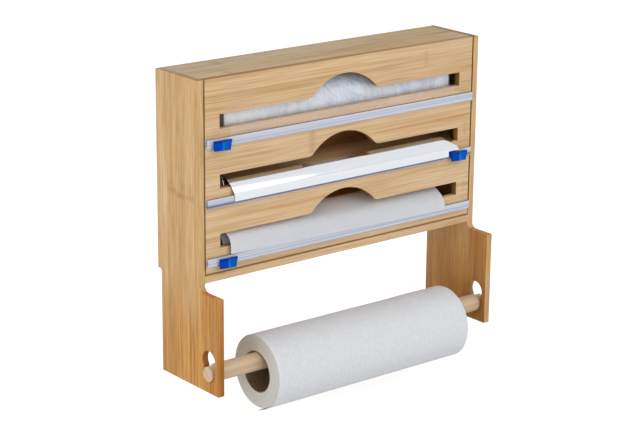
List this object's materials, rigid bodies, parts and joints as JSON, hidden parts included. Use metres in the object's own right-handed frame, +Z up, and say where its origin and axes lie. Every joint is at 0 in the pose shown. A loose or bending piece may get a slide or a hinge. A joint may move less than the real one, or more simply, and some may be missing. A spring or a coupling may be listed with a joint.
{
  "type": "wrap dispenser with towel holder",
  "caption": "Wall-hung bamboo box that dispenses film, foil and baking paper through slots in a drop-down door with slide cutters, with a towel rod between its legs.",
  "frame": {"origin": "midway between the two wall-screw holes, on the back face that lies against the wall", "axes": "+X to the right seen from the front, +Y into the wall, +Z up"},
  "size_m": [0.3788, 0.1284, 0.3531],
  "materials": {
    "bamboo": "satin",
    "bamboo_side": "satin",
    "rod_wood": "satin",
    "dowel_wood": "matte",
    "steel": "satin",
    "magnet": "satin",
    "blade_steel": "satin",
    "clear_track": "gloss",
    "blue_plastic": "gloss",
    "film": "gloss",
    "foil": "bright",
    "baking_paper": "matte",
    "towel_paper": "matte",
    "card": "matte"
  },
  "bodies": {
    "cabinet": {"left_side_panel": "bamboo_side", "right_side_panel": "bamboo_side", "top_board": "bamboo", "bottom_board": "bamboo", "back_panel": "bamboo", "lower_shelf": "bamboo", "upper_shelf": "bamboo", "case_dowels": "dowel_wood", "strike_plates": "steel"},
    "door": {"front_door": "bamboo", "hinge_pins": "steel", "catch_magnets": "magnet", "top_track": "clear_track", "middle_track": "clear_track", "bottom_track": "clear_track", "film_sheet": "film", "foil_sheet": "foil", "paper_sheet": "baking_paper"},
    "top_cutter": {"top_slider": "blue_plastic", "top_blade": "blade_steel"},
    "middle_cutter": {"middle_slider": "blue_plastic", "middle_blade": "blade_steel"},
    "bottom_cutter": {"bottom_slider": "blue_plastic", "bottom_blade": "blade_steel"},
    "film": {"film_roll": "film", "film_core": "card"},
    "foil": {"foil_roll": "foil", "foil_core": "card"},
    "paper": {"paper_roll": "baking_paper", "paper_core": "card"},
    "rod": {"towel_rod": "rod_wood"},
    "towel": {"towel_roll": "towel_paper", "towel_core": "card"}
  },
  "joints": [
    {"name": "door_hinge", "type": "hinge", "parent": "cabinet", "child": "door", "pos_m": [0, -0.06985, -0.1743], "axis": [1, 0, 0], "range_deg": [0, 55]},
    {"name": "top_cutter_slide", "type": "slide", "parent": "door", "child": "top_cutter", "axis": [1, 0, 0], "range_m": [-0.006, 0.3285]},
    {"name": "middle_cutter_slide", "type": "slide", "parent": "door", "child": "middle_cutter", "axis": [1, 0, 0], "range_m": [-0.326, 0.0085]},
    {"name": "bottom_cutter_slide", "type": "slide", "parent": "door", "child": "bottom_cutter", "axis": [1, 0, 0], "range_m": [-0.0124, 0.322]},
    {"name": "film_spin", "type": "hinge", "parent": "cabinet", "child": "film", "pos_m": [0, -0.0389, -0.024], "axis": [1, 0, 0], "continuous": true},
    {"name": "foil_spin", "type": "hinge", "parent": "cabinet", "child": "foil", "pos_m": [0, -0.0479, -0.095], "axis": [1, 0, 0], "continuous": true},
    {"name": "paper_spin", "type": "hinge", "parent": "cabinet", "child": "paper", "pos_m": [0, -0.0429, -0.1594], "axis": [1, 0, 0], "continuous": true},
    {"name": "rod_lift", "type": "slide", "parent": "cabinet", "child": "rod", "axis": [0, 0, 1], "range_m": [0, 0.0136]},
    {"name": "towel_spin", "type": "hinge", "parent": "rod", "child": "towel", "pos_m": [0, -0.0889, -0.2911], "axis": [1, 0, 0], "continuous": true}
  ]
}
